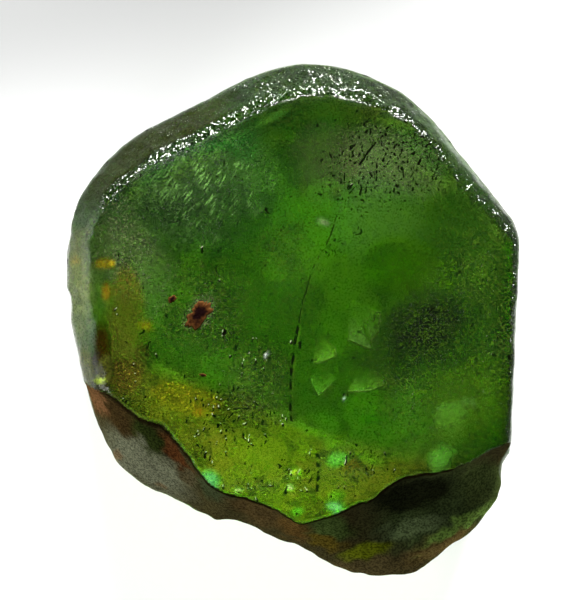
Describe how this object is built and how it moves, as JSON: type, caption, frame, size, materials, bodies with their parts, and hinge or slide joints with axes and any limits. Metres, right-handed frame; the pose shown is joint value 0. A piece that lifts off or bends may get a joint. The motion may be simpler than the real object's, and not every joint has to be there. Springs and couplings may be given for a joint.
{
  "type": "peridot crystal",
  "caption": "Rough peridot crystal: a thick, worn tablet with a broad etched face, narrow sloping rims and a shell-shaped fracture across its lower end. It lies on its back.",
  "frame": {"origin": "middle of the bounding box, on the plane of the back face that the crystal rests on", "axes": "+Y towards the crystal's upper end, +Z out of its broad front face, +X to its right seen from the front"},
  "size_m": [0.0266, 0.03, 0.013],
  "materials": {
    "peridot": "etched and lightly frosted, see-through green with a milky cast"
  },
  "bodies": {
    "root": {"peridot_crystal": "peridot"}
  },
  "joints": []
}
